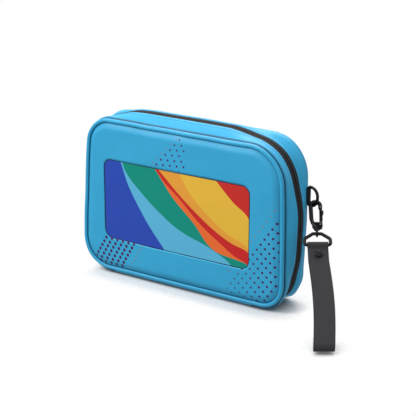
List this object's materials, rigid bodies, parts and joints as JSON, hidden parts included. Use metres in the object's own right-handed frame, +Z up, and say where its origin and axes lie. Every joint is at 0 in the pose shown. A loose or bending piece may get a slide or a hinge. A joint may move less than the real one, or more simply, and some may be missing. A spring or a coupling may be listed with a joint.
{
  "type": "table tennis paddle case",
  "caption": "Semi-hard clamshell paddle case with a zip on three sides, a printed window and a wrist strap on a swivel snap hook at its right side.",
  "frame": {"origin": "on the floor, at the middle of the bottom strip, on the line that the front half folds about", "axes": "+X to the case's right as seen from the front, +Y to its back, +Z up"},
  "size_m": [0.4013, 0.1319, 0.2083],
  "materials": {
    "blue_leatherette": "fine-grained satin",
    "blue_piping": "smooth satin",
    "foam_board": "closed-cell foam",
    "lining_cloth": "woven lining",
    "zip_tape": "woven tape",
    "zip_coil": "nylon coil",
    "printed_sheet": "printed bands of colour",
    "mesh": "open mesh",
    "elastic": "ribbed elastic",
    "black_metal": "black satin",
    "steel": "plain",
    "webbing": "tight flat weave"
  },
  "bodies": {
    "back_half": {"back_panel": "blue_leatherette", "back_piping": "blue_piping", "back_gusset": "blue_leatherette", "back_board": "foam_board", "back_lining": "lining_cloth", "back_zip_tape": "zip_tape", "back_zip_coil": "zip_coil", "bottom_strip_back": "blue_leatherette", "blade_band": "elastic", "handle_band": "elastic", "zip_end_stops": "black_metal", "ring_tab": "webbing"},
    "front_half": {"front_panel": "blue_leatherette", "front_piping": "blue_piping", "front_gusset": "blue_leatherette", "front_board": "foam_board", "front_lining": "lining_cloth", "front_zip_tape": "zip_tape", "front_zip_coil": "zip_coil", "window_print": "printed_sheet", "bottom_strip_front": "blue_leatherette", "mesh_pocket": "mesh", "pocket_binding": "elastic"},
    "zip_slider": {"zip_slider": "black_metal"},
    "zip_pull": {"zip_pull": "black_metal"},
    "side_ring": {"side_ring": "black_metal"},
    "hook": {"hook_body": "black_metal", "gate_pin": "steel", "gate_spring": "steel"},
    "gate": {"hook_gate": "black_metal"},
    "swivel": {"swivel": "black_metal"},
    "strap_ring": {"strap_ring": "black_metal"},
    "strap_top": {"strap_upper": "webbing", "rivet_cap": "black_metal", "rivet_base": "black_metal"},
    "strap_loop": {"strap_lower": "webbing"}
  },
  "joints": [
    {"name": "case_fold", "type": "hinge", "parent": "back_half", "child": "front_half", "pos_m": [0, 0, 0], "axis": [1, 0, 0], "range_deg": [0, 180]},
    {"name": "zip_slide", "type": "slide", "parent": "back_half", "child": "zip_slider", "axis": [0, 0, 1], "range_m": [-0.04, 0.05]},
    {"name": "pull_tilt", "type": "hinge", "parent": "zip_slider", "child": "zip_pull", "pos_m": [-0.1524, 0, 0.095], "axis": [0, 1, 0], "range_deg": [0, 170]},
    {"name": "ring_swing", "type": "hinge", "parent": "back_half", "child": "side_ring", "pos_m": [0.1496, 0.0215, 0.1355], "axis": [0, 0, 1], "range_deg": [-15, 75]},
    {"name": "hook_rock", "type": "hinge", "parent": "side_ring", "child": "hook", "pos_m": [0.16001, 0.01966, 0.12693], "axis": [0.6964, -0.1228, 0.7071], "range_deg": [-10, 45]},
    {"name": "gate_open", "type": "hinge", "parent": "hook", "child": "gate", "pos_m": [0.17503, 0.00475, 0.10812], "axis": [0.3733, -0.5584, 0.7408], "range_deg": [0, 12], "stiffness_Nm_per_rad": 0.02},
    {"name": "eye_swivel", "type": "hinge", "parent": "hook", "child": "swivel", "pos_m": [0.16001, 0.01966, 0.12693], "axis": [-0.4117, 0.6159, 0.6717], "continuous": true},
    {"name": "strap_ring_rock", "type": "hinge", "parent": "swivel", "child": "strap_ring", "pos_m": [0.17594, -0.00417, 0.10093], "axis": [0.8314, 0.5557, 0], "range_deg": [-35, 45]},
    {"name": "strap_turn", "type": "hinge", "parent": "strap_ring", "child": "strap_top", "pos_m": [0.18191, -0.0131, 0.09119], "axis": [-0.8314, -0.5557, 0], "range_deg": [-35, 45]},
    {"name": "strap_bend", "type": "hinge", "parent": "strap_top", "child": "strap_loop", "pos_m": [0.19048, -0.02591, 0.07722], "axis": [0.8314, 0.5557, 0], "range_deg": [-35, 55]}
  ]
}
